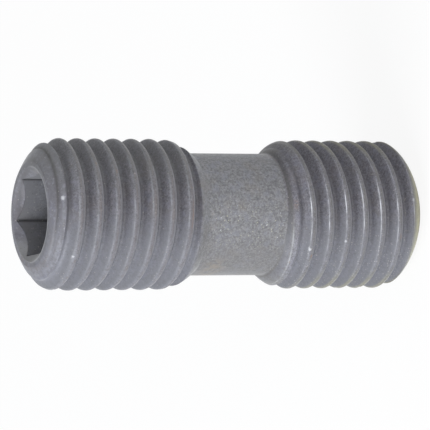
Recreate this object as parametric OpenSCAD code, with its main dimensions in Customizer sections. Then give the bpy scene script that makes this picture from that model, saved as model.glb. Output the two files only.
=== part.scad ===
// Double-ended insert screw. The screw stands on its plain end: the axis is +Z, the origin is the centre of the
// plain end face, and the hex socket opens upwards. The plain end has a right-hand thread and the socket end a
// left-hand thread of the same size, so one turn draws both threaded parts together.

/* [Screw] */
// Length over both end faces
screw_len = 21; // [19:0.5:26]
// Diameter over the crests of both threads (M8 thread, less its allowance)
thread_d = 7.8; // [7.6:0.05:8]
// Pitch of both threads
thread_pitch = 1; // [0.75:0.05:1.25]
// Width of the flat on a thread crest, as a share of the pitch
crest_flat_share = 0.25; // [0.1:0.01:0.28]
// Depth of the thread from crest to root, as a share of the pitch
thread_depth_share = 0.54; // [0.45:0.01:0.62]
// Included angle of the thread flanks, in degrees
flank_angle = 60; // [50:1:64]

/* [Rounding] */
// How far the end bevels are rounded: 0 is straight, and 1 runs smoothly into the crests
bevel_rounding = 0.65; // [0:0.05:1]
// How far the cones at the neck are rounded: 0 is straight, and 1 runs smoothly into the crests
cone_rounding = 0.9; // [0:0.05:1]

/* [Left-hand end] */
// Length of the left-hand end, from the socket face to the neck
left_end_len = 8.6; // [6:0.05:9]
// Diameter of the flat end face that holds the socket
socket_face_d = 5.4; // [5:0.05:6.2]
// Length of the bevel between the socket face and the thread
socket_bevel_len = 1.1; // [0.5:0.05:1.8]
// Length of the cone between the left-hand thread and the neck
left_cone_len = 1.5; // [0.5:0.05:1.8]
// Angle where the left-hand crest line reaches the plane of the socket face
left_crest_angle = 172; // [0:1:360]

/* [Neck] */
// Diameter of the plain neck between the threads
neck_d = 6.35; // [5.8:0.05:6.4]
// Length of the neck
neck_len = 4.15; // [3:0.05:6]
// Radius of the fillet where a cone meets the neck
neck_fillet = 0.2; // [0.1:0.05:1]

/* [Right-hand end] */
// Diameter of the flat face at the plain end
plain_face_d = 5.2; // [4.5:0.05:6]
// Length of the bevel between the plain face and the thread
plain_bevel_len = 1.2; // [0.5:0.05:1.8]
// Length of the cone between the right-hand thread and the neck
right_cone_len = 1.5; // [0.5:0.05:1.8]
// Angle where the right-hand crest line reaches the plane of the plain face
right_crest_angle = 332; // [0:1:360]

/* [Hex socket] */
// Width of the hex socket across its flats
socket_af = 4; // [3:0.05:4.2]
// Depth of the hex socket below the socket face
socket_depth = 4.5; // [3:0.1:6]
// Turn of the hex socket about the axis
socket_turn = 38; // [0:1:60]
// Width of the bevelled lead-in around the corners of the hex
lead_in = 0.11; // [0.02:0.01:0.2]
// Included angle of the lead-in, in degrees
lead_in_angle = 90; // [60:5:120]
// Diameter of the drilled hole that runs on below the hex
pilot_d = 3.8; // [2.5:0.05:3.9]
// Depth of the drilled hole below the socket face, without its point
pilot_depth = 5.6; // [5:0.1:7]
// Included angle of the drill point, in degrees
drill_point_angle = 118; // [90:1:140]

/* [Hidden] */

$fn = 96;
steel_grey = [0.36, 0.36, 0.38];

// Facets of the helical faces in one turn, steps of a fillet and steps of a rounded bevel or cone
turn_steps = 48;
fillet_steps = 3;
taper_steps = 4;
// Play by which a cutting shape runs past the face that it cuts
past = 0.5;
// Play by which the blank runs outside the crests, so that only its bevels and cones cut the threads
blank_play = 0.05;

crest_r = thread_d / 2;
root_r = crest_r - thread_depth_share * thread_pitch;
neck_r = neck_d / 2;
blank_r = crest_r + blank_play;

neck_top_z = screw_len - left_end_len;
neck_foot_z = neck_top_z - neck_len;
left_cone = taper_points(neck_r, left_cone_len, cone_rounding);
right_cone = taper_points(neck_r, right_cone_len, cone_rounding);
left_cone_angle = atan((left_cone[1][0] - neck_r) / left_cone[1][1]);
right_cone_angle = atan((right_cone[1][0] - neck_r) / right_cone[1][1]);
// Heights where the fillets run out into the plain neck
neck_plain_top_z = neck_top_z - neck_fillet * tan(left_cone_angle / 2);
neck_plain_foot_z = neck_foot_z + neck_fillet * tan(right_cone_angle / 2);

crest_flat = crest_flat_share * thread_pitch;
flank_run = (crest_r - root_r) * tan(flank_angle / 2);

// The outline of one pitch: crest flat, falling flank and root flat, as [height, radius]. The rising flank that
// closes it ends at the first point of the next pitch.
pitch_outline = [
    [-crest_flat / 2, crest_r],
    [crest_flat / 2, crest_r],
    [crest_flat / 2 + flank_run, root_r],
    [thread_pitch - crest_flat / 2 - flank_run, root_r]
];

hex_corner_d = socket_af / cos(30);
lead_in_d = hex_corner_d + 2 * lead_in;

// Points of a bevel or cone that widens from radius r to the crests over length len, and on to the blank's outside,
// as [radius, distance from its narrow end]. The first point is the narrow end.
function taper_points(r, len, rounding) =
    let (
        last = (taper_steps - 1) / taper_steps,
        last_slope = (crest_r - r) / len * (1 - rounding * last)
    )
    [
        for (i = [0:taper_steps - 1])
            let (u = i / taper_steps)
            [r + (crest_r - r) * (u + rounding * u * (1 - u)), len * u],
        [blank_r, len + (blank_r - crest_r) / last_slope]
    ];

// Points of a fillet between a cylinder of radius r and a cone that widens away from height z. The cone leaves the
// axis direction by angle a, and side is 1 where it widens upwards and -1 where it widens downwards.
function fillet_points(r, z, a, side) = [
    for (i = [0:fillet_steps])
        let (turn = a * i / fillet_steps)
        [
            r + neck_fillet * (1 - cos(turn)),
            z + side * neck_fillet * (sin(turn) - tan(a / 2))
        ]
];

// A rod with a right-hand thread, from below z_low to above z_high. Its crest passes through height crest_z at
// angle 0. The helical faces are strips between the points of the outline, and each end closes on the axis.
module threaded_rod(z_low, z_high, crest_z) {
    first = crest_z + thread_pitch * floor((z_low - crest_z) / thread_pitch - 1);
    turns = ceil((z_high - first) / thread_pitch);
    steps = turn_steps * turns;
    edge_count = steps + turn_steps + 1;

    function place(step, corner) =
        let (a = 360 * step / turn_steps, p = pitch_outline[corner])
        [p[1] * cos(a), p[1] * sin(a), first + p[0] + thread_pitch * step / turn_steps];
    function index(step, corner) =
        corner == 0 ? step
        : corner == 4 ? step + turn_steps
        : edge_count + 3 * step + corner - 1;

    foot = edge_count + 3 * (steps + 1);
    head = foot + 1;
    points = [
        for (step = [0:edge_count - 1]) place(step, 0),
        for (step = [0:steps]) for (corner = [1:3]) place(step, corner),
        [0, 0, first + thread_pitch / 2],
        [0, 0, first + thread_pitch * (turns + 1 / 2)]
    ];
    strips = [
        for (step = [0:steps - 1]) for (corner = [0:3]) for (half = [0, 1])
            half == 0
            ? [index(step, corner), index(step, corner + 1), index(step + 1, corner + 1)]
            : [index(step, corner), index(step + 1, corner + 1), index(step + 1, corner)]
    ];
    fans = [
        for (step = [0:turn_steps - 1]) [foot, step, step + 1],
        for (step = [0:turn_steps - 1]) [head, steps + step + 1, steps + step]
    ];
    walls = [
        for (corner = [0:3]) [foot, index(0, corner + 1), index(0, corner)],
        for (corner = [0:3]) [head, index(steps, corner), index(steps, corner + 1)]
    ];
    polyhedron(points = points, faces = concat(strips, fans, walls), convexity = 10);
}

// The turned blank, before its threads are cut: plain face and bevel, cone, neck, cone, bevel and socket face
module blank() {
    plain_bevel = taper_points(plain_face_d / 2, plain_bevel_len, bevel_rounding);
    socket_bevel = taper_points(socket_face_d / 2, socket_bevel_len, bevel_rounding);
    foot_fillet = fillet_points(neck_r, neck_foot_z, right_cone_angle, -1);
    rotate_extrude()
        polygon([
            [0, 0],
            for (p = plain_bevel) p,
            for (i = [taper_steps:-1:1]) [right_cone[i][0], neck_foot_z - right_cone[i][1]],
            for (i = [fillet_steps:-1:0]) foot_fillet[i],
            for (p = fillet_points(neck_r, neck_top_z, left_cone_angle, 1)) p,
            for (i = [1:taper_steps]) [left_cone[i][0], neck_top_z + left_cone[i][1]],
            for (i = [taper_steps:-1:0]) [socket_bevel[i][0], screw_len - socket_bevel[i][1]],
            [0, screw_len]
        ]);
}

// Both threaded rods, each run on into the neck, where a full core joins them
module threads() {
    mirror([0, 1, 0])
        threaded_rod(neck_plain_top_z, screw_len, screw_len + thread_pitch * left_crest_angle / 360);
    translate([0, 0, neck_plain_foot_z])
        cylinder(r = blank_r, h = neck_plain_top_z - neck_plain_foot_z);
    threaded_rod(0, neck_plain_foot_z, -thread_pitch * right_crest_angle / 360);
}

// Everything that is cut from the socket end: the hex, the drilled hole below it and the bevelled lead-in
module hex_socket() {
    point_len = pilot_d / 2 / tan(drill_point_angle / 2);
    lead_in_len = lead_in_d / 2 / tan(lead_in_angle / 2);
    lead_in_scale = (lead_in_len + past) / lead_in_len;
    translate([0, 0, screw_len]) {
        rotate(socket_turn)
            translate([0, 0, -socket_depth])
                cylinder(d = hex_corner_d, h = socket_depth + past, $fn = 6);
        translate([0, 0, -pilot_depth])
            cylinder(d = pilot_d, h = pilot_depth + past);
        translate([0, 0, -pilot_depth - point_len])
            cylinder(d1 = 0, d2 = pilot_d, h = point_len);
        translate([0, 0, -lead_in_len])
            cylinder(d1 = 0, d2 = lead_in_d * lead_in_scale, h = lead_in_len + past);
    }
}

module insert_screw() {
    color(steel_grey)
        difference() {
            intersection() {
                blank();
                threads();
            }
            hex_socket();
        }
}

insert_screw();
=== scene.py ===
"""Dresses the insert screw: a fine mesh of the one steel solid, its phosphated finish, a pale floor, soft
light and the camera of the photograph. Lengths are in millimetres until a mesh is made, and metres in
Blender."""

import math

import bpy
import numpy as np
from mathutils import Matrix, Vector


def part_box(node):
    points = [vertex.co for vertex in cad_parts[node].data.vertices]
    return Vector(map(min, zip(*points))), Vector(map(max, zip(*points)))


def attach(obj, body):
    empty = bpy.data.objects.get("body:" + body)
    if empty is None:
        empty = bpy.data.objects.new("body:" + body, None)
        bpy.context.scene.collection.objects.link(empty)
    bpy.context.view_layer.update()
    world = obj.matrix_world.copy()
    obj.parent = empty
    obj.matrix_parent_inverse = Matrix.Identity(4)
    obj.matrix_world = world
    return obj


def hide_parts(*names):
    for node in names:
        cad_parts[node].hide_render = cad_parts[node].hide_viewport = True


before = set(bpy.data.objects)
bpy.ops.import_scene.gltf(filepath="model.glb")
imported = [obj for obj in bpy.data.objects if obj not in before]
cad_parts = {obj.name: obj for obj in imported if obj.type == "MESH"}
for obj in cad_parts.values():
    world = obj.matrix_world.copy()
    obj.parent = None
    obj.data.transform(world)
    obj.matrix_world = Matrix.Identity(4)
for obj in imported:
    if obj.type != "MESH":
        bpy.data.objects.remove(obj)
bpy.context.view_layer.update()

MM = 0.001
NODE = "insert_screw"

# Sizes that the frame gives
node_low, node_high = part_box(NODE)
SCREW_LEN = (node_high[2] - node_low[2]) / MM
CREST_R = (node_high[0] - node_low[0]) / 2 / MM

# Thread
PITCH = 1.0
THREAD_DEPTH = 0.54 * PITCH
# Flat of the crests before they are rounded, and the radii of the rounded crests and roots
CREST_FLAT = 0.22 * PITCH
CREST_ROUND = 0.2
ROOT_ROUND = 0.1
# Tangent of half the angle between two flanks
FLANK_TAN = math.tan(math.radians(30))
LEFT_CREST_ANGLE = math.radians(172)
RIGHT_CREST_ANGLE = math.radians(332)

# Left-hand end, neck and right-hand end, as in the solid
LEFT_END_LEN = 8.6
SOCKET_FACE_R = 2.7
SOCKET_BEVEL_LEN = 1.1
LEFT_CONE_LEN = 1.5
NECK_R = 3.175
NECK_LEN = 4.15
NECK_FILLET = 0.2
PLAIN_FACE_R = 2.6
PLAIN_BEVEL_LEN = 1.2
RIGHT_CONE_LEN = 1.5
BEVEL_ROUNDING = 0.65
CONE_ROUNDING = 0.9

# Hex socket, as in the solid
SOCKET_AF = 4.0
SOCKET_DEPTH = 4.5
SOCKET_TURN = math.radians(38)
LEAD_IN = 0.11
PILOT_R = 1.9
PILOT_DEPTH = 5.6
DRILL_POINT_HALF = math.radians(59)

# Fine forms that the solid lacks: the rounding of the edges of both end faces, the seam along the unfilled
# crest on the socket bevel, and the width over which that bevel rounds into the flanks
RIM_ROUND = 0.05
SEAM_DEPTH = 0.11
SEAM_REACH = 0.13
BLEND = 0.14
# The finish takes the seam for a groove of this share of the thread's depth
SEAM_AS_GROOVE = 0.6
# The right-hand thread's grooves fade out towards the neck between these distances below NECK_FOOT
FADE_START = 0.45
FADE_END = 1.2
# The right-hand cone starts nearer to its thread than in the solid, by this much on average, and aslant
RIGHT_START = 0.25
RIGHT_SLANT = 0.12
# A crest counts as unfilled where the blank is this far below the full crests. Nearer to the axis than
# BARE_R the bevels are bare of crests.
UNFILLED_DROP = 0.2
BARE_R = 2.95
BARE_BLEND = 0.15

# Dents: how far they stay from both ends, their reach and depth, and where below the crests they fade out.
# A distance around the screw counts by DENT_SQUASH, so that they are longer that way.
DENT_SEED = 7
DENT_COUNT = 520
DENT_FROM_PLAIN_FACE = 0.5
DENT_FROM_SOCKET_FACE = 0.3
DENT_REACH = (0.07, 0.22)
DENT_DEPTH = (0.008, 0.035)
DENT_FADE_DROP = 0.25
DENT_FADE_LEN = 0.15
DENT_SQUASH = 0.7

# Chips on the crests and bevels, painted bright as glints, as their place and reach
GLINT_CHIPS = (
    ((0.82, -3.31, 20.53), 0.16),
    ((-2.10, -3.15, 19.90), 0.12),
    ((1.30, -3.60, 3.65), 0.07),
    ((-1.38, -3.62, 4.88), 0.08),
    ((0.75, -3.66, 0.95), 0.12),
    ((-1.81, -3.43, 6.88), 0.13),
)
# Share of the reach of a chip or speck within which it has its full colour
CHIP_CORE = 0.3
SPECK_CORE = 0.4

# Mesh density, and the angle from which an edge is sharp
COLUMNS = 192
LINES_PER_PITCH = 22
NECK_ROWS = 12
RIM_ROWS = 4
LEAD_IN_ROWS = 2
HEX_WALL_ROWS = 4
SHARP_ANGLE = math.radians(38)
# Turns by which a thread's grid runs past each of its end rings, and how near to one a grid point joins it
SPARE_TURNS = 2
SNAP = 0.012

# The camera looks down on the socket end and is rolled a quarter turn, so that the screw lies across the
# picture. Its tilt is in radians, and the screw's axis lies a little above the middle, in pixels.
VIEW_TILT = 0.424
VIEW_DISTANCE = 180.0
VIEW_HEIGHT = 10.682
PIXELS_PER_MM = 19.2
PICTURE_PIXELS = 430
AXIS_ABOVE_CENTRE = 0.6
SENSOR_WIDTH = 36
# Nearest and farthest distance that the camera sees, in metres
CLIP_START = 0.01
CLIP_END = 20

# Half the floor's side, in metres, its colour, and how much of it the camera sees as white
FLOOR_HALF = 1.5
FLOOR_GREY = 0.86
FLOOR_WHITE_SHARE = 0.9
# Strength of the soft light that comes from the -X and the +X side
LIGHT_FROM_MINUS_X = 0.60
LIGHT_FROM_PLUS_X = 0.33

NECK_TOP = SCREW_LEN - LEFT_END_LEN
NECK_FOOT = NECK_TOP - NECK_LEN
NECK_MIDDLE = (NECK_TOP + NECK_FOOT) / 2
LEFT_CONE_TOP = NECK_TOP + LEFT_CONE_LEN
ROOT_R = CREST_R - THREAD_DEPTH
LEFT_CONE_ANGLE = math.atan((CREST_R - NECK_R) * (1 + CONE_ROUNDING) / LEFT_CONE_LEN)
RIGHT_CONE_ANGLE = math.atan((CREST_R - NECK_R) * (1 + CONE_ROUNDING) / RIGHT_CONE_LEN)
# Heights between which the neck is plain all round
NECK_PLAIN_TOP = NECK_TOP - NECK_FILLET * math.tan(LEFT_CONE_ANGLE / 2)
NECK_PLAIN_FOOT = NECK_FOOT - RIGHT_START + RIGHT_SLANT + NECK_FILLET * math.tan(RIGHT_CONE_ANGLE / 2)
# Heights at which a crest line passes through angle 0
LEFT_CREST_Z = SCREW_LEN + PITCH * LEFT_CREST_ANGLE / (2 * math.pi)
RIGHT_CREST_Z = -PITCH * RIGHT_CREST_ANGLE / (2 * math.pi)
HEX_CORNER_R = SOCKET_AF / 2 / math.cos(math.pi / 6)
MOUTH_R = HEX_CORNER_R + LEAD_IN


def smooth(share):
    """Smooth step of a share from 0 to 1."""
    return share**2 * (3 - 2 * share)


def rounded_corner(x, corner_x, corner_y, slope, radius):
    """Height at x of a level line that turns into a slope at a corner, with the corner rounded."""
    turn = math.atan(slope)
    reach = radius * math.tan(abs(turn) / 2)
    start = corner_x - reach
    end = corner_x + reach * math.cos(turn)
    across = np.clip(x - start, 0, None)
    arc = radius - np.sqrt(np.clip(radius**2 - np.minimum(across, radius)**2, 0, None))
    line = (x - corner_x) * slope + corner_y
    level_arc = corner_y + math.copysign(1, slope) * arc
    return np.where(x < start, corner_y, np.where(x < end, level_arc, line))


def thread_radius(offset):
    """Radius of the thread at an axial distance from the nearest crest's centre, up to half a pitch."""
    crest = rounded_corner(offset, CREST_FLAT / 2, CREST_R, -1 / FLANK_TAN, CREST_ROUND)
    root_edge = CREST_FLAT / 2 + THREAD_DEPTH * FLANK_TAN
    from_root = PITCH / 2 - offset
    root = rounded_corner(from_root, PITCH / 2 - root_edge, ROOT_R, 1 / FLANK_TAN, ROOT_ROUND)
    middle = (CREST_FLAT / 2 + root_edge) / 2
    return np.where(offset < middle, crest, root)


def taper_radius(distance, r, length, rounding):
    """Radius of a bevel or cone that widens from r to the crests, at a distance from its narrow end."""
    share = np.clip(distance / length, 0, None)
    rise = np.where(share < 1, share + rounding * share * (1 - share), share)
    return r + (CREST_R - r) * rise


def cone_radius(distance, length, cone_angle):
    """Radius of the neck, its fillet and the cone, at a distance past the cone's foot."""
    straight = rounded_corner(distance, 0, NECK_R, math.tan(cone_angle), NECK_FILLET)
    fillet_end = NECK_FILLET * math.tan(cone_angle / 2) * math.cos(cone_angle)
    rounded = taper_radius(distance, NECK_R, length, CONE_ROUNDING)
    return np.where(distance < fillet_end, straight, np.minimum(straight, rounded))


def blank_radius(z, angles):
    """Radius of the turned blank, without its threads."""
    right_start = RIGHT_START + RIGHT_SLANT * np.cos(angles)
    socket_bevel = taper_radius(SCREW_LEN - z, SOCKET_FACE_R, SOCKET_BEVEL_LEN, BEVEL_ROUNDING)
    plain_bevel = taper_radius(z, PLAIN_FACE_R, PLAIN_BEVEL_LEN, BEVEL_ROUNDING)
    neck = np.where(
        z > NECK_MIDDLE,
        cone_radius(z - NECK_TOP, LEFT_CONE_LEN, LEFT_CONE_ANGLE),
        cone_radius(NECK_FOOT - right_start - z, RIGHT_CONE_LEN - right_start, RIGHT_CONE_ANGLE),
    )
    return np.minimum(neck, np.minimum(socket_bevel, plain_bevel))


def unfilled_share(blank):
    """How far the crests are left unfilled on the bevels and cones, as a share."""
    below_crests = np.clip((CREST_R - blank) / UNFILLED_DROP, 0, 1)
    return below_crests * np.clip((blank - BARE_R) / BARE_BLEND, 0, 1)


def seam_share(offset, unfilled):
    """Depth, as a share, of the shallow seam that rolling leaves along unfilled crests."""
    return unfilled * smooth(np.clip(1 - np.abs(offset) / SEAM_REACH, 0, 1))


def groove_share(heights):
    """How deep the grooves are cut, as a share: they fade out on the right-hand cone."""
    share = np.clip((NECK_FOOT - heights - FADE_START) / (FADE_END - FADE_START), 0, 1)
    return np.where(heights < NECK_FOOT, smooth(share), 1)


def dents(heights, angles, radii):
    """Depth of the small nicks and dents along the crests. They only take material away."""
    rng = np.random.default_rng(DENT_SEED)
    depth = np.zeros_like(radii)
    on_crest = np.clip((radii - CREST_R + DENT_FADE_DROP) / DENT_FADE_LEN, 0, 1)
    for _ in range(DENT_COUNT):
        dent_angle = rng.uniform(-math.pi, math.pi)
        dent_z = rng.uniform(DENT_FROM_PLAIN_FACE, SCREW_LEN - DENT_FROM_SOCKET_FACE)
        reach = rng.uniform(*DENT_REACH)
        deep = rng.uniform(*DENT_DEPTH)
        around = (angles - dent_angle + math.pi) % (2 * math.pi) - math.pi
        away = np.hypot(around[None, :] * CREST_R * DENT_SQUASH, heights - dent_z) / reach
        hollow = np.clip(1 - away**2, 0, 1) ** 2
        depth = np.maximum(depth, deep * hollow)
    return depth * on_crest


def thread_grid(angles, z_low, z_high, hand, crest_z):
    """Grid of a threaded stretch, past both heights. Its rows follow the helix, so that crests and roots stay
    crisp. Returns each point's height and radius, how far it lies down in a groove and how unfilled its crest
    is."""
    rise = hand * PITCH * (angles - angles[0]) / (2 * math.pi)
    start = crest_z + hand * PITCH * angles[0] / (2 * math.pi)
    first_turn = math.floor((z_low - start) / PITCH) - SPARE_TURNS
    turn_count = math.ceil((z_high - z_low) / PITCH) + 1 + 2 * SPARE_TURNS
    turn_bases = start + PITCH * (first_turn + np.arange(turn_count))
    line_bases = np.arange(LINES_PER_PITCH) / LINES_PER_PITCH * PITCH
    heights = (turn_bases[:, None] + line_bases[None, :]).ravel()[:, None] + rise[None, :]
    away = (heights - (start + rise)[None, :]) / PITCH
    offset = np.abs(away - np.round(away)) * PITCH

    blank = blank_radius(heights, angles)
    unfilled = unfilled_share(blank)
    above_left_cone = heights > LEFT_CONE_TOP
    seam = seam_share(offset, unfilled) * above_left_cone
    seamed = blank - SEAM_DEPTH * seam
    thread = thread_radius(offset)
    blend = np.clip(1 - np.abs(thread - seamed) / BLEND, 0, 1) * above_left_cone
    radii = np.minimum(thread, seamed) - blend**2 * BLEND / 4
    radii = blank - (blank - radii) * groove_share(heights)
    radii = radii - dents(heights, angles, radii)
    grooves = np.clip((np.minimum(blank, CREST_R) - radii) / THREAD_DEPTH, 0, 1)
    return heights, radii, np.maximum(grooves, SEAM_AS_GROOVE * seam), unfilled


class MeshParts:
    """Vertices and faces of one closed mesh, gathered piece by piece."""

    def __init__(self):
        self.points = []
        self.grooves = []
        self.unfilled = []
        self.faces = []

    def add_point(self, point, groove=0.0, unfilled=0.0):
        """Adds a vertex, its place in a groove and how unfilled its crest is. Returns its index."""
        self.points.append(point)
        self.grooves.append(groove)
        self.unfilled.append(unfilled)
        return len(self.points) - 1

    def add_ring(self, radii, heights, angles):
        """Adds a ring of vertices and returns their indices."""
        radii = np.broadcast_to(radii, angles.shape)
        heights = np.broadcast_to(heights, angles.shape)
        return [self.add_point(p) for p in zip(radii * np.cos(angles), radii * np.sin(angles), heights)]

    def add_face(self, corners):
        """Adds a face, without its repeated corners, if three are left."""
        kept = [c for i, c in enumerate(corners) if c != corners[i - 1]]
        if len(set(kept)) == len(kept) and len(kept) >= 3:
            self.faces.append(kept)

    def bridge(self, lower, upper):
        """Joins two rings, seen from outside with the upper one above."""
        count = len(lower)
        for i in range(count):
            j = (i + 1) % count
            self.add_face([lower[i], lower[j], upper[j], upper[i]])

    def bridge_all(self, rings, upwards=True):
        """Joins each ring to the next. Seen from outside, that one is above, or below unless upwards."""
        for ring, following in zip(rings, rings[1:]):
            if upwards:
                self.bridge(ring, following)
            else:
                self.bridge(following, ring)

    def close(self, ring, height, upwards):
        """Closes a ring with a fan to the axis."""
        centre = self.add_point((0.0, 0.0, height))
        count = len(ring)
        for i in range(count):
            j = (i + 1) % count
            self.faces.append([ring[i], ring[j], centre] if upwards else [ring[j], ring[i], centre])


def helical_zone(parts, angles, z_low, z_high, hand, crest_z):
    """A threaded stretch that ends on level rings at both heights. Returns those two rings."""
    heights, radii, grooves, unfilled = thread_grid(angles, z_low, z_high, hand, crest_z)
    low_ring = parts.add_ring(blank_radius(z_low, angles), z_low, angles)
    high_ring = parts.add_ring(blank_radius(z_high, angles), z_high, angles)
    index = np.zeros(heights.shape, dtype=int)
    for row, column in np.ndindex(heights.shape):
        z = heights[row, column]
        if z < z_low + SNAP:
            index[row, column] = low_ring[column]
        elif z > z_high - SNAP:
            index[row, column] = high_ring[column]
        else:
            r = radii[row, column]
            point = (r * math.cos(angles[column]), r * math.sin(angles[column]), z)
            index[row, column] = parts.add_point(point, grooves[row, column], unfilled[row, column])

    # Past the last column, each row goes on as the row of the first column that is one turn away
    rows = len(index)
    next_turn = np.clip(np.arange(rows) + hand * LINES_PER_PITCH, 0, rows - 1)
    following = np.column_stack([index[:, 1:], index[next_turn, 0]])
    corners = np.stack([index[:-1], following[:-1], following[1:], index[1:]], axis=-1)
    for face in corners.reshape(-1, 4).tolist():
        parts.add_face(face)
    return low_ring, high_ring


def rim_shape(face_r, bevel_len):
    """Angle between an end face and its bevel, and how far the rounded edge reaches along both."""
    slope_angle = math.atan2(bevel_len, (CREST_R - face_r) * (1 + BEVEL_ROUNDING))
    return slope_angle, RIM_ROUND * math.tan(slope_angle / 2)


def rim_rings(parts, angles, face_r, face_z, bevel_len, side):
    """Rings of the rounded edge between a bevel and an end face, from the bevel inwards."""
    slope_angle, reach = rim_shape(face_r, bevel_len)
    centre_r = face_r - reach
    centre_z = face_z - side * RIM_ROUND
    rings = []
    for row in range(1, RIM_ROWS + 1):
        turn = slope_angle * (1 - row / RIM_ROWS)
        r = centre_r + RIM_ROUND * math.sin(turn)
        rings.append(parts.add_ring(r, centre_z + side * RIM_ROUND * math.cos(turn), angles))
    return rings


def rim_start(face_r, face_z, bevel_len, side):
    """Height on the bevel where the rounded edge of the end face starts."""
    slope_angle, reach = rim_shape(face_r, bevel_len)
    return face_z - side * reach * math.sin(slope_angle)


def hex_radius(angles):
    """Distance from the axis to the hexagon's sides."""
    past_corner = (angles - SOCKET_TURN) % (math.pi / 3)
    return SOCKET_AF / 2 / np.cos(past_corner - math.pi / 6)


def add_socket(parts, angles, face_ring):
    """The face around the socket, its lead-in, the hex walls, the floor and the drilled hole."""
    wall_r = hex_radius(angles)
    drop = MOUTH_R - wall_r
    wall_top = SCREW_LEN - drop
    floor_z = SCREW_LEN - SOCKET_DEPTH
    pilot_z = SCREW_LEN - PILOT_DEPTH
    rings = [face_ring, parts.add_ring(MOUTH_R, SCREW_LEN, angles)]
    for row in range(1, LEAD_IN_ROWS + 1):
        down = drop * row / LEAD_IN_ROWS
        rings.append(parts.add_ring(MOUTH_R - down, SCREW_LEN - down, angles))
    for row in range(1, HEX_WALL_ROWS + 1):
        rings.append(parts.add_ring(wall_r, wall_top + (floor_z - wall_top) * row / HEX_WALL_ROWS, angles))
    rings.append(parts.add_ring(PILOT_R, floor_z, angles))
    rings.append(parts.add_ring(PILOT_R, pilot_z, angles))
    parts.bridge_all(rings)
    parts.close(rings[-1], pilot_z - PILOT_R / math.tan(DRILL_POINT_HALF), True)


def build_screw():
    """The whole screw as one closed mesh."""
    angles = SOCKET_TURN + 2 * math.pi * np.arange(COLUMNS) / COLUMNS
    parts = MeshParts()
    plain_start = rim_start(PLAIN_FACE_R, 0.0, PLAIN_BEVEL_LEN, -1)
    socket_start = rim_start(SOCKET_FACE_R, SCREW_LEN, SOCKET_BEVEL_LEN, 1)
    right_low, right_high = helical_zone(parts, angles, plain_start, NECK_PLAIN_FOOT, 1, RIGHT_CREST_Z)
    left_low, left_high = helical_zone(parts, angles, NECK_PLAIN_TOP, socket_start, -1, LEFT_CREST_Z)

    neck_rings = [right_high]
    for row in range(1, NECK_ROWS):
        z = NECK_PLAIN_FOOT + (NECK_PLAIN_TOP - NECK_PLAIN_FOOT) * row / NECK_ROWS
        neck_rings.append(parts.add_ring(NECK_R, z, angles))
    parts.bridge_all(neck_rings + [left_low])

    plain_rings = [right_low] + rim_rings(parts, angles, PLAIN_FACE_R, 0.0, PLAIN_BEVEL_LEN, -1)
    parts.bridge_all(plain_rings, upwards=False)
    parts.close(plain_rings[-1], 0.0, False)

    socket_rings = [left_high] + rim_rings(parts, angles, SOCKET_FACE_R, SCREW_LEN, SOCKET_BEVEL_LEN, 1)
    parts.bridge_all(socket_rings)
    add_socket(parts, angles, socket_rings[-1])

    mesh = bpy.data.meshes.new("screw_body")
    mesh.from_pydata([(x * MM, y * MM, z * MM) for x, y, z in parts.points], [], parts.faces)
    mesh.validate()
    for name, values in (("groove", parts.grooves), ("unfilled", parts.unfilled)):
        mesh.attributes.new(name, "FLOAT", "POINT").data.foreach_set("value", values)
    mesh.polygons.foreach_set("use_smooth", [True] * len(mesh.polygons))
    mesh.set_sharp_from_angle(angle=SHARP_ANGLE)
    screw = bpy.data.objects.new("screw_body", mesh)
    bpy.context.scene.collection.objects.link(screw)
    return screw


def add_node(tree, kind, **settings):
    """Adds a shader node. Settings name its properties, or its inputs where they start with in_."""
    node = tree.nodes.new(kind)
    for name, value in settings.items():
        if name.startswith("in_"):
            node.inputs[name[3:].replace("_", " ")].default_value = value
        else:
            setattr(node, name, value)
    return node


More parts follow.
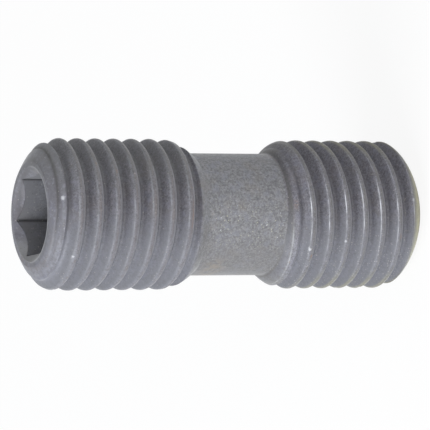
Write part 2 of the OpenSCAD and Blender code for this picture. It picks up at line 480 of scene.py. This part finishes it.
class Shader:
    """Adds and links shader nodes, and returns their output sockets."""

    def __init__(self, name):
        self.material = bpy.data.materials.new(name)
        self.material.use_nodes = True
        self.tree = self.material.node_tree
        self.tree.nodes.clear()
        self.link = self.tree.links.new

    def feed(self, socket, value):
        """Links an output to a socket, or sets the socket to a plain value."""
        if isinstance(value, bpy.types.NodeSocket):
            self.link(value, socket)
        else:
            socket.default_value = value

    def math(self, operation, *values):
        node = add_node(self.tree, "ShaderNodeMath", operation=operation)
        for socket, value in zip(node.inputs, values):
            self.feed(socket, value)
        return node.outputs["Value"]

    def product(self, *values):
        result = values[0]
        for value in values[1:]:
            result = self.math("MULTIPLY", result, value)
        return result

    def vector_math(self, operation, first, second=None, output="Vector"):
        node = add_node(self.tree, "ShaderNodeVectorMath", operation=operation)
        self.feed(node.inputs[0], first)
        if second is not None:
            self.feed(node.inputs["Scale" if operation == "SCALE" else 1], second)
        return node.outputs[output]

    def ramp(self, value, low, high, low_value=0.0, high_value=1.0):
        """Smooth step between two values."""
        node = add_node(self.tree, "ShaderNodeMapRange", interpolation_type="SMOOTHSTEP")
        for socket, entry in zip(node.inputs, (value, low, high, low_value, high_value)):
            self.feed(socket, entry)
        return node.outputs["Result"]

    def bell(self, value, centre, reach):
        """Smooth hump of height 1 around a centre."""
        away = self.math("ABSOLUTE", self.math("SUBTRACT", value, centre))
        return self.ramp(away, reach, 0.0)

    def attribute(self, name):
        return add_node(self.tree, "ShaderNodeAttribute", attribute_name=name).outputs["Fac"]

    def noise(self, vector, scale, detail=2.0, roughness=0.55):
        node = add_node(
            self.tree, "ShaderNodeTexNoise", in_Scale=scale, in_Detail=detail, in_Roughness=roughness
        )
        self.link(vector, node.inputs["Vector"])
        return node.outputs["Fac"]

    def specks(self, vector, scale, share, size, shift=None):
        """Small round specks in a random share of the cells of a grid, which a shift makes another grid."""
        if shift is not None:
            vector = self.vector_math("ADD", vector, shift)
        node = add_node(self.tree, "ShaderNodeTexVoronoi", in_Scale=scale)
        self.link(vector, node.inputs["Vector"])
        channels = add_node(self.tree, "ShaderNodeSeparateColor")
        self.link(node.outputs["Color"], channels.inputs["Color"])
        chosen = self.math("GREATER_THAN", channels.outputs["Red"], 1 - share)
        return self.math("MULTIPLY", chosen, self.ramp(node.outputs["Distance"], size, size * SPECK_CORE))

    def mix(self, factor, first, second, blend="MIX"):
        """Mixes two colours, which are inputs 6 and 7 of the node and its output 2."""
        node = add_node(self.tree, "ShaderNodeMix", data_type="RGBA", blend_type=blend)
        self.feed(node.inputs[0], factor)
        self.feed(node.inputs[6], first)
        self.feed(node.inputs[7], second)
        return node.outputs[2]

    def paint(self, colour, mask, strength, over):
        """The colour with another one laid over it at a strength, where the mask is."""
        return self.mix(self.math("MULTIPLY", mask, strength), colour, over)


def grey(level, red=1.0, green=1.0, blue=1.0):
    """Colour of a grey level with a tint."""
    return (level * red, level * green, level * blue, 1)


class Surface:
    """Shader values that say where on the screw a point lies, for all parts of the finish. The limits of the
    smooth steps, here and in the finish, are millimetres along x, y, z and radius, shares of the 1 mm pitch
    along offset, and values from 0 to 1 of noises and masks. The scales of noises and specks are per mm."""

    def __init__(self, s):
        self.find_place(s)
        self.find_parts(s)
        self.grain = s.noise(self.place, 8.0, 3.0, 0.65)
        self.fine = s.noise(self.place, 14.0, 2.0)
        self.patches = s.noise(self.place, 0.9, 3.0)
        self.clouds = s.noise(self.place, 2.6, 3.0)
        self.smoother = s.ramp(self.z, SCREW_LEN - 1.2, SCREW_LEN - 0.7)

    def find_place(self, s):
        """Place in space, and place along the thread's profile: 0 on the crest, and positive on the side
        towards the socket end."""
        place = add_node(s.tree, "ShaderNodeTexCoord").outputs["Object"]
        self.place = s.vector_math("SCALE", place, 1 / MM)
        axes = add_node(s.tree, "ShaderNodeSeparateXYZ")
        s.link(self.place, axes.inputs["Vector"])
        self.x, self.y, self.z = axes.outputs
        across = s.vector_math("MULTIPLY", self.place, (1, 1, 0))
        self.radius = s.vector_math("LENGTH", across, output="Value")
        turn = s.math("DIVIDE", s.math("ARCTAN2", self.y, self.x), 2 * math.pi)
        left_phase = s.math("ADD", s.math("SUBTRACT", self.z, LEFT_CREST_Z), turn)
        right_phase = s.math("SUBTRACT", s.math("SUBTRACT", self.z, RIGHT_CREST_Z), turn)
        self.is_left = s.math("GREATER_THAN", self.z, NECK_MIDDLE)
        change = s.math("MULTIPLY", self.is_left, s.math("SUBTRACT", left_phase, right_phase))
        phase = s.math("ADD", right_phase, change)
        self.offset = s.math("SUBTRACT", phase, s.math("ROUND", phase))

    def find_parts(self, s):
        """Masks of the socket's lead-in, the outside, the threads, their crests and their grooves."""
        from_lead_in = s.math("ADD", self.radius, s.math("SUBTRACT", SCREW_LEN, self.z))
        at_lead_in = s.ramp(from_lead_in, MOUTH_R + 0.07, MOUTH_R + 0.02)
        self.lead_in = s.product(at_lead_in, s.ramp(self.radius, MOUTH_R + 0.02, MOUTH_R))
        past_mouth = s.ramp(self.radius, MOUTH_R - 0.06, MOUTH_R + 0.01)
        self.outside = s.math("MAXIMUM", past_mouth, self.lead_in)
        reach_left = s.ramp(self.z, NECK_TOP + 0.45, NECK_TOP + 0.75)
        reach_right = s.ramp(self.z, NECK_FOOT - 0.2, NECK_FOOT - 0.3)
        self.threaded = s.product(s.math("MAXIMUM", reach_left, reach_right), self.outside)
        groove = s.attribute("groove")
        self.unfilled = s.attribute("unfilled")
        self.on_crest = s.product(s.ramp(groove, 0.22, 0.04), self.threaded)
        self.in_groove = s.ramp(groove, 0.02, 0.12)


def base_colour(s, at):
    """Grain and cloudy patches all over, with a smoother stretch at the socket end."""
    colour = s.mix(s.ramp(at.grain, 0.32, 0.68), grey(0.125, 0.98, 1.0, 1.05), grey(0.245, 1.0, 1.0, 1.05))
    colour = s.mix(s.ramp(at.fine, 0.45, 0.68, 0.0, 0.4), colour, grey(0.33, 1.0, 1.0, 1.03))
    blots = s.ramp(s.noise(at.place, 4.2, 3.0, 0.6), 0.5, 0.68, 0.0, 0.55)
    colour = s.mix(blots, colour, grey(0.125, 0.98, 0.97, 1.08))
    fine_on_threads = s.product(s.ramp(at.fine, 0.42, 0.66), at.threaded)
    colour = s.paint(colour, fine_on_threads, 0.35, grey(0.36, 1.0, 1.0, 1.04))
    colour = s.paint(colour, at.smoother, 0.78, grey(0.185, 0.99, 1.0, 1.05))
    colour = s.mix(s.ramp(at.clouds, 0.45, 0.7, 0.0, 0.45), colour, grey(0.24, 0.94, 0.98, 1.16))
    return s.mix(s.ramp(at.patches, 0.5, 0.72, 0.0, 0.35), colour, grey(0.19, 1.10, 1.0, 0.90))


def darken_threads(s, at, colour):
    """Darker, slightly violet threads and grooves, with pale mottling on the threads."""
    covered = s.math("MAXIMUM", at.in_groove, at.threaded)
    darkening = s.math("SUBTRACT", 1.0, s.math("MULTIPLY", covered, 0.24))
    mottle = s.ramp(s.noise(at.place, 5.2, 3.0, 0.6), 0.53, 0.68)
    colour = s.paint(colour, s.product(mottle, at.threaded), 0.5, grey(0.33, 0.97, 1.0, 1.05))
    tint = s.mix(covered, (1, 1, 1, 1), (1.0, 0.975, 1.05, 1))
    return s.mix(1.0, colour, s.vector_math("SCALE", tint, darkening), "MULTIPLY")


def wear_and_highlight_share(s, at, at_bevel):
    """How far the crests are rubbed bright, with a painted highlight over it: a line along their edge towards
    the socket end, strongest in front on the right-hand thread and towards -X on the left-hand one, where the
    light falls, and painted highlights on the lips of the unfilled crests."""
    uneven = s.ramp(s.noise(at.place, 1.3, 4.0, 0.5), 0.4, 0.62, 0.25, 1.0)
    # The line's strength follows where the light falls: towards -X on the left-hand thread and in front on
    # the right-hand one. So it is rubbed wear with a painted highlight.
    lower = s.product(s.ramp(at.x, 2.4, -0.3, 0.4, 0.85), s.ramp(at.x, -2.9, -0.6, 0.2, 1.0))
    front = s.ramp(s.math("ABSOLUTE", at.x), 2.1, 0.3, 0.2, 1.0)
    strength = s.mix(at.is_left, front, lower)
    line = s.bell(at.offset, 0.11, s.math("ADD", 0.034, s.math("MULTIPLY", at.is_left, 0.016)))
    at_plain = s.product(at.unfilled, s.math("LESS_THAN", at.z, PLAIN_BEVEL_LEN))
    full = s.math("ADD", s.math("SUBTRACT", 1.0, at.unfilled), at_plain)
    below_bevel = s.ramp(at.z, SCREW_LEN - 0.6, SCREW_LEN - 0.8)
    wear_and_highlight = s.product(line, at.on_crest, uneven, strength, full, below_bevel)
    at_cone = s.product(at.unfilled, s.math("LESS_THAN", at.z, NECK_FOOT))
    # Painted highlights on the lips of the unfilled crests, on the cone only towards -X
    bevel_lip = s.product(s.bell(at.offset, -0.2, 0.1), at_bevel, 0.3)
    cone_lip = s.product(s.bell(at.offset, -0.05, 0.05), at_cone, s.ramp(at.x, 0.3, -1.6), 0.3)
    lips = s.math("ADD", bevel_lip, cone_lip)
    return s.math("ADD", wear_and_highlight, s.product(lips, uneven))


def crest_wear_light_and_shade(s, at, colour):
    """Brown crests, rubbed bright along one edge with a painted highlight over it, and painted shade in the
    seam on the socket bevel and along the foot of the right-hand cone. Returns the colour and the share of
    wear and painted highlight."""
    brown = s.product(s.bell(at.offset, -0.03, 0.13), at.on_crest, s.ramp(at.clouds, 0.35, 0.65, 0.3, 1.0))
    stain = s.mix(at.is_left, grey(0.14, 1.06, 1.03, 0.86), grey(0.13, 1.12, 0.98, 0.90))
    colour = s.paint(colour, brown, 0.6, stain)
    at_bevel = s.product(at.unfilled, s.math("GREATER_THAN", at.z, LEFT_CONE_TOP))
    wear_and_highlight = wear_and_highlight_share(s, at, at_bevel)
    # Near white on the left-hand thread: wear with a painted highlight
    bright = s.mix(at.is_left, grey(0.92, 0.97, 1.0, 1.04), grey(0.34, 0.96, 1.0, 1.06))
    colour = s.paint(colour, wear_and_highlight, 0.9, bright)
    # Painted shade in the seam on the socket bevel and in the corner at the foot of the right-hand cone
    seam_shade = s.product(s.bell(at.offset, -0.01, 0.1), at_bevel)
    slant = s.math("MULTIPLY", s.math("DIVIDE", at.x, at.radius), RIGHT_SLANT)
    below_foot = s.math("SUBTRACT", s.math("SUBTRACT", NECK_FOOT - RIGHT_START, slant), at.z)
    foot_shade = s.product(s.ramp(below_foot, -0.02, 0.05), s.ramp(below_foot, 0.30, 0.12), 0.85)
    dark = s.math("MAXIMUM", seam_shade, foot_shade)
    return s.paint(colour, dark, 0.75, grey(0.07, 1.05, 1.0, 1.0)), wear_and_highlight


def side_light_shade_and_tints(s, at, colour):
    """Painted light: paler, bluish threads and lighter grooves towards -X, where the light comes from.
    Painted shade on the flanks that face the socket end towards -X and in the roots towards +X. Warm tints on
    the neck.
    """
    # Painted light: paler, bluish threads towards -X, where the light comes from
    cloudy = s.ramp(s.noise(at.place, 3.4, 4.0, 0.7), 0.40, 0.62, 0.1, 1.0)
    painted_low_light = s.product(s.ramp(at.x, 0.8, -2.6), at.threaded, cloudy)
    colour = s.paint(colour, painted_low_light, 0.42, grey(0.27, 0.95, 0.99, 1.14))
    # Painted light in the grooves towards -X
    lit_low_groove = s.product(at.in_groove, at.threaded, s.ramp(at.x, 0.8, -1.8))
    colour = s.paint(colour, lit_low_groove, 0.35, grey(0.27, 0.96, 0.99, 1.12))
    # Painted shade on the flanks that face the socket end, towards -X
    shaded_low_flank = s.product(s.bell(at.offset, 0.2, 0.3), at.threaded, s.ramp(at.x, 0.6, -1.2))
    colour = s.paint(colour, shaded_low_flank, 0.55, grey(0.12, 0.97, 0.99, 1.08))
    # Painted shade in the roots towards +X
    at_root = s.bell(s.math("ABSOLUTE", at.offset), 0.5, 0.2)
    shaded_high_root = s.product(at_root, at.threaded, s.ramp(at.x, -1.8, 1.2))
    colour = s.paint(colour, shaded_high_root, 0.5, grey(0.05, 1.02, 0.97, 1.1))
    tan = s.product(s.ramp(at.x, 0.0, -2.8), s.math("SUBTRACT", 1.0, at.threaded), at.outside)
    colour = s.paint(colour, tan, 0.45, grey(0.12, 1.05, 1.0, 0.95))
    near_top = s.product(s.bell(at.z, NECK_TOP - 0.9, 1.0), s.ramp(at.x, -2.0, -2.7))
    warm = s.product(near_top, s.ramp(at.clouds, 0.4, 0.55), s.ramp(at.y, 1.5, 0.0))
    return s.paint(colour, warm, 0.6, grey(0.20, 1.15, 1.0, 0.80))


def add_rust(s, at, colour):
    """Rust in patches on the crests, along the lowest left-hand crest and in the first right-hand groove."""
    patches = s.ramp(s.noise(at.place, 1.3, 3.0, 0.7), 0.62, 0.72)
    rust = s.product(patches, at.on_crest, s.bell(at.offset, -0.1, 0.14))
    near_cone = s.ramp(at.z, LEFT_CONE_TOP + 0.3, LEFT_CONE_TOP + 0.1)
    in_front = s.product(near_cone, at.is_left, s.bell(at.x, -0.1, 1.4))
    lowest_crest = s.product(in_front, s.bell(at.offset, -0.12, 0.08), at.on_crest)
    rust = s.math("MAXIMUM", rust, s.product(lowest_crest, s.ramp(at.grain, 0.3, 0.6, 0.2, 0.8)))
    near_foot = s.product(s.bell(at.x, 0.5, 0.35), s.bell(at.z, NECK_FOOT - 0.62, 0.14))
    first_groove = s.product(near_foot, s.ramp(at.radius, 3.2, 3.3))
    rust = s.math("MAXIMUM", rust, s.product(first_groove, s.ramp(at.grain, 0.4, 0.6)))
    return s.paint(colour, rust, 0.8, (0.24, 0.15, 0.11, 1))


def tint_ends(s, at, colour):
    """An olive plain bevel, yellowish right-hand crests at the sides and a green cast on the socket end."""
    plain_bevel = s.product(s.ramp(at.z, 1.0, 0.4), s.ramp(at.radius, 2.4, 2.8))
    olive = s.product(plain_bevel, s.ramp(at.clouds, 0.3, 0.6, 0.6, 1.0))
    colour = s.paint(colour, olive, 0.85, grey(0.48, 1.04, 1.0, 0.60))
    crest_sides = s.product(s.ramp(s.math("ABSOLUTE", at.x), 2.7, 3.8), at.on_crest)
    yellow = s.product(crest_sides, s.math("SUBTRACT", 1.0, at.is_left), s.ramp(at.z, 7.5, 5.0, 0.3, 1.0))
    colour = s.paint(colour, yellow, 0.6, grey(0.22, 1.04, 1.0, 0.66))
    high_side = s.product(s.ramp(at.x, 0.4, 3.2), at.is_left, at.threaded)
    greenish = s.product(high_side, s.ramp(at.clouds, 0.3, 0.6, 0.4, 1.0))
    return s.paint(colour, greenish, 0.28, grey(0.21, 0.98, 1.03, 0.93))


def shade_socket(s, at, colour):
    """Painted light on the lead-in towards -X and a painted highlight on the edge of the mouth towards -Y,
    and painted shade within the socket, darkest in the hex corners.
    """
    # Painted light on the lead-in towards -X
    lit_lead_in = s.product(at.lead_in, s.ramp(at.x, -1.0, -1.9))
    colour = s.paint(colour, lit_lead_in, 0.7, grey(0.30, 1.0, 1.0, 1.0))
    # Painted highlight on the edge of the mouth towards -Y
    on_face = s.ramp(at.z, SCREW_LEN - 0.08, SCREW_LEN - 0.02)
    rim_highlight = s.product(s.bell(at.radius, MOUTH_R + 0.02, 0.08), on_face, s.ramp(at.y, 0.8, -0.8))
    colour = s.paint(colour, rim_highlight, 0.6, grey(0.34, 0.98, 1.0, 1.03))
    # Painted shade within the socket, darkest in the hex corners
    within_corners = s.ramp(at.radius, HEX_CORNER_R + 0.03, HEX_CORNER_R + 0.01)
    shaded_inside = s.product(s.math("SUBTRACT", 1.0, at.outside), within_corners)
    colour = s.paint(colour, shaded_inside, 0.55, grey(0.17, 0.97, 0.99, 1.10))
    corner_shade = s.product(shaded_inside, s.ramp(at.radius, HEX_CORNER_R - 0.07, HEX_CORNER_R - 0.01))
    return s.paint(colour, corner_shade, 0.75, grey(0.03))


def add_specks(s, at, colour):
    """Dark pits, pale specks and larger ones all over, pale crumbs low on the right-hand end, and golden and
    white painted glints on the neck."""
    colour = s.paint(colour, s.specks(at.place, 6.5, 0.28, 0.34), 0.45, grey(0.10))
    pale = s.specks(at.place, 7.5, 0.16, 0.3, shift=(3.1, 7.7, 1.9))
    colour = s.paint(colour, pale, 0.45, grey(0.40, 1.05, 1.0, 0.90))
    crumbs = s.specks(at.place, 9.0, 0.25, 0.32, shift=(9.1, 4.7, 6.3))
    right_low = s.product(s.ramp(at.x, 0.0, -2.0), s.ramp(at.z, NECK_FOOT - 0.5, NECK_FOOT - 1.5), 0.6)
    colour = s.mix(s.product(crumbs, right_low), colour, grey(0.52, 1.02, 1.0, 0.92))
    colour = s.paint(colour, s.specks(at.place, 2.4, 0.05, 0.13), 0.5, (0.50, 0.48, 0.44, 1))

    below_top = s.ramp(at.z, NECK_TOP + 0.2, NECK_TOP - 0.6)
    above_foot = s.ramp(at.z, NECK_FOOT - 0.3, NECK_FOOT + 0.2)
    on_neck = s.product(below_top, above_foot, s.bell(at.x, -0.6, 1.9))
    # Yellowish and white painted glints on the neck
    golden_glint = s.specks(at.place, 9.0, 0.22, 0.34, shift=(5.3, 2.1, 4.7))
    colour = s.paint(colour, s.product(golden_glint, on_neck), 0.75, grey(0.50, 1.02, 1.0, 0.72))
    glint = s.specks(at.place, 8.0, 0.08, 0.32, shift=(1.3, 6.1, 2.9))
    return s.paint(colour, s.product(glint, on_neck), 0.85, grey(0.62, 0.97, 1.0, 1.05))


def add_glint_chips(s, at, colour):
    """Chips with ragged edges, painted bright as glints."""
    ragged = s.math("MULTIPLY", s.math("SUBTRACT", at.grain, 0.5), 0.25)
    for centre, reach in GLINT_CHIPS:
        away = s.math("ADD", s.vector_math("DISTANCE", at.place, centre, output="Value"), ragged)
        colour = s.paint(colour, s.ramp(away, reach, reach * CHIP_CORE), 0.75, grey(0.58, 0.98, 1.0, 1.05))
    return colour


def phosphated_steel():
    """Matte dark grey phosphate on steel, with painted highlights and shade. Each part of the finish is laid
    over the ones before it.
    """
    s = Shader("phosphated_steel")
    at = Surface(s)
    colour = darken_threads(s, at, base_colour(s, at))
    colour, wear_and_highlight = crest_wear_light_and_shade(s, at, colour)
    for part in (side_light_shade_and_tints, add_rust, tint_ends, shade_socket, add_specks, add_glint_chips):
        colour = part(s, at, colour)

    rough = s.ramp(at.grain, 0.2, 0.8, 0.62, 0.48)
    rough = s.math("SUBTRACT", rough, s.math("MULTIPLY", wear_and_highlight, 0.15))
    bump = add_node(s.tree, "ShaderNodeBump", in_Distance=0.02 * MM)
    s.link(s.math("SUBTRACT", 0.4, s.math("MULTIPLY", at.smoother, 0.3)), bump.inputs["Strength"])
    s.link(at.grain, bump.inputs["Height"])

    shader = add_node(
        s.tree,
        "ShaderNodeBsdfPrincipled",
        in_Specular_IOR_Level=0.45,
        in_Sheen_Weight=0.3,
        in_Sheen_Roughness=0.35,
    )
    s.link(colour, shader.inputs["Base Color"])
    s.link(rough, shader.inputs["Roughness"])
    s.link(bump.outputs["Normal"], shader.inputs["Normal"])
    output = add_node(s.tree, "ShaderNodeOutputMaterial")
    s.link(shader.outputs["BSDF"], output.inputs["Surface"])
    return s.material


def floor_material():
    """Pale floor that the camera sees as nearly white and that keeps the screw's shadow."""
    material = bpy.data.materials.new("floor")
    material.use_nodes = True
    tree = material.node_tree
    tree.nodes.clear()
    link = tree.links.new
    output = add_node(tree, "ShaderNodeOutputMaterial")
    matte = add_node(tree, "ShaderNodeBsdfDiffuse", in_Color=(FLOOR_GREY, FLOOR_GREY, FLOOR_GREY, 1))
    glow = add_node(tree, "ShaderNodeEmission", in_Color=(1, 1, 1, 1), in_Strength=1.0)
    path = add_node(tree, "ShaderNodeLightPath")
    share = add_node(tree, "ShaderNodeMath", operation="MULTIPLY")
    share.inputs[1].default_value = FLOOR_WHITE_SHARE
    mix = add_node(tree, "ShaderNodeMixShader")
    link(path.outputs["Is Camera Ray"], share.inputs[0])
    link(share.outputs["Value"], mix.inputs["Fac"])
    link(matte.outputs["BSDF"], mix.inputs[1])
    link(glow.outputs["Emission"], mix.inputs[2])
    link(mix.outputs["Shader"], output.inputs["Surface"])
    return material


def build_floor():
    """The pale floor under the screw."""
    mesh = bpy.data.meshes.new("floor")
    corners = [(x * FLOOR_HALF, y * FLOOR_HALF, 0) for x, y in ((-1, -1), (1, -1), (1, 1), (-1, 1))]
    mesh.from_pydata(corners, [], [(0, 1, 2, 3)])
    floor = bpy.data.objects.new("floor", mesh)
    bpy.context.scene.collection.objects.link(floor)
    mesh.materials.append(floor_material())


def build_world():
    """White to the camera. Everything else gets a soft light that is stronger from the -X side."""
    world = bpy.data.worlds.new("studio")
    bpy.context.scene.world = world
    world.use_nodes = True
    tree = world.node_tree
    tree.nodes.clear()
    link = tree.links.new
    output = add_node(tree, "ShaderNodeOutputWorld")
    soft = add_node(tree, "ShaderNodeBackground", in_Color=(0.95, 0.97, 1.0, 1))
    white = add_node(tree, "ShaderNodeBackground", in_Color=(1, 1, 1, 1), in_Strength=1.0)
    direction = add_node(tree, "ShaderNodeTexCoord")
    axes = add_node(tree, "ShaderNodeSeparateXYZ")
    strength = add_node(tree, "ShaderNodeMapRange")
    for socket, value in zip(strength.inputs[1:5], (-1.0, 1.0, LIGHT_FROM_MINUS_X, LIGHT_FROM_PLUS_X)):
        socket.default_value = value
    path = add_node(tree, "ShaderNodeLightPath")
    mix = add_node(tree, "ShaderNodeMixShader")
    link(direction.outputs["Generated"], axes.inputs["Vector"])
    link(axes.outputs["X"], strength.inputs["Value"])
    link(strength.outputs["Result"], soft.inputs["Strength"])
    link(path.outputs["Is Camera Ray"], mix.inputs["Fac"])
    link(soft.outputs["Background"], mix.inputs[1])
    link(white.outputs["Background"], mix.inputs[2])
    link(mix.outputs["Shader"], output.inputs["Surface"])


def add_area_light(name, place, size, power, colour):
    """A square soft light that points at the screw's middle. Its place and size are in metres."""
    data = bpy.data.lights.new(name, "AREA")
    data.size = size
    data.energy = power
    data.color = colour
    light = bpy.data.objects.new(name, data)
    light.location = place
    aim = Vector((0, 0, SCREW_LEN / 2 * MM)) - Vector(place)
    light.rotation_euler = aim.to_track_quat("-Z", "Y").to_euler()
    bpy.context.scene.collection.objects.link(light)


def build_camera():
    """The photograph's camera."""
    data = bpy.data.cameras.new("camera")
    data.sensor_width = SENSOR_WIDTH
    data.lens = data.sensor_width * PIXELS_PER_MM * VIEW_DISTANCE / PICTURE_PIXELS
    data.clip_start = CLIP_START
    data.clip_end = CLIP_END
    back = Vector((0, -math.cos(VIEW_TILT), math.sin(VIEW_TILT)))
    up = Vector((1, 0, 0))
    right = up.cross(back)
    target = Vector((-AXIS_ABOVE_CENTRE / PIXELS_PER_MM, 0, VIEW_HEIGHT))
    camera = bpy.data.objects.new("camera", data)
    turn = Matrix((right, up, back)).transposed().to_4x4()
    camera.matrix_world = Matrix.Translation((target + back * VIEW_DISTANCE) * MM) @ turn
    bpy.context.scene.collection.objects.link(camera)
    bpy.context.scene.camera = camera


build_camera()
build_floor()
build_world()
add_area_light("key", place=(-0.32, -0.12, 0.32), size=0.30, power=1.95, colour=(0.95, 0.97, 1.0))
add_area_light("fill", place=(0.04, -0.42, 0.10), size=0.35, power=0.9, colour=(1.0, 0.98, 0.96))
bpy.context.scene.view_settings.view_transform = "Standard"

screw_body = build_screw()
screw_body.data.materials.append(phosphated_steel())
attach(screw_body, "root")
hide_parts(NODE)
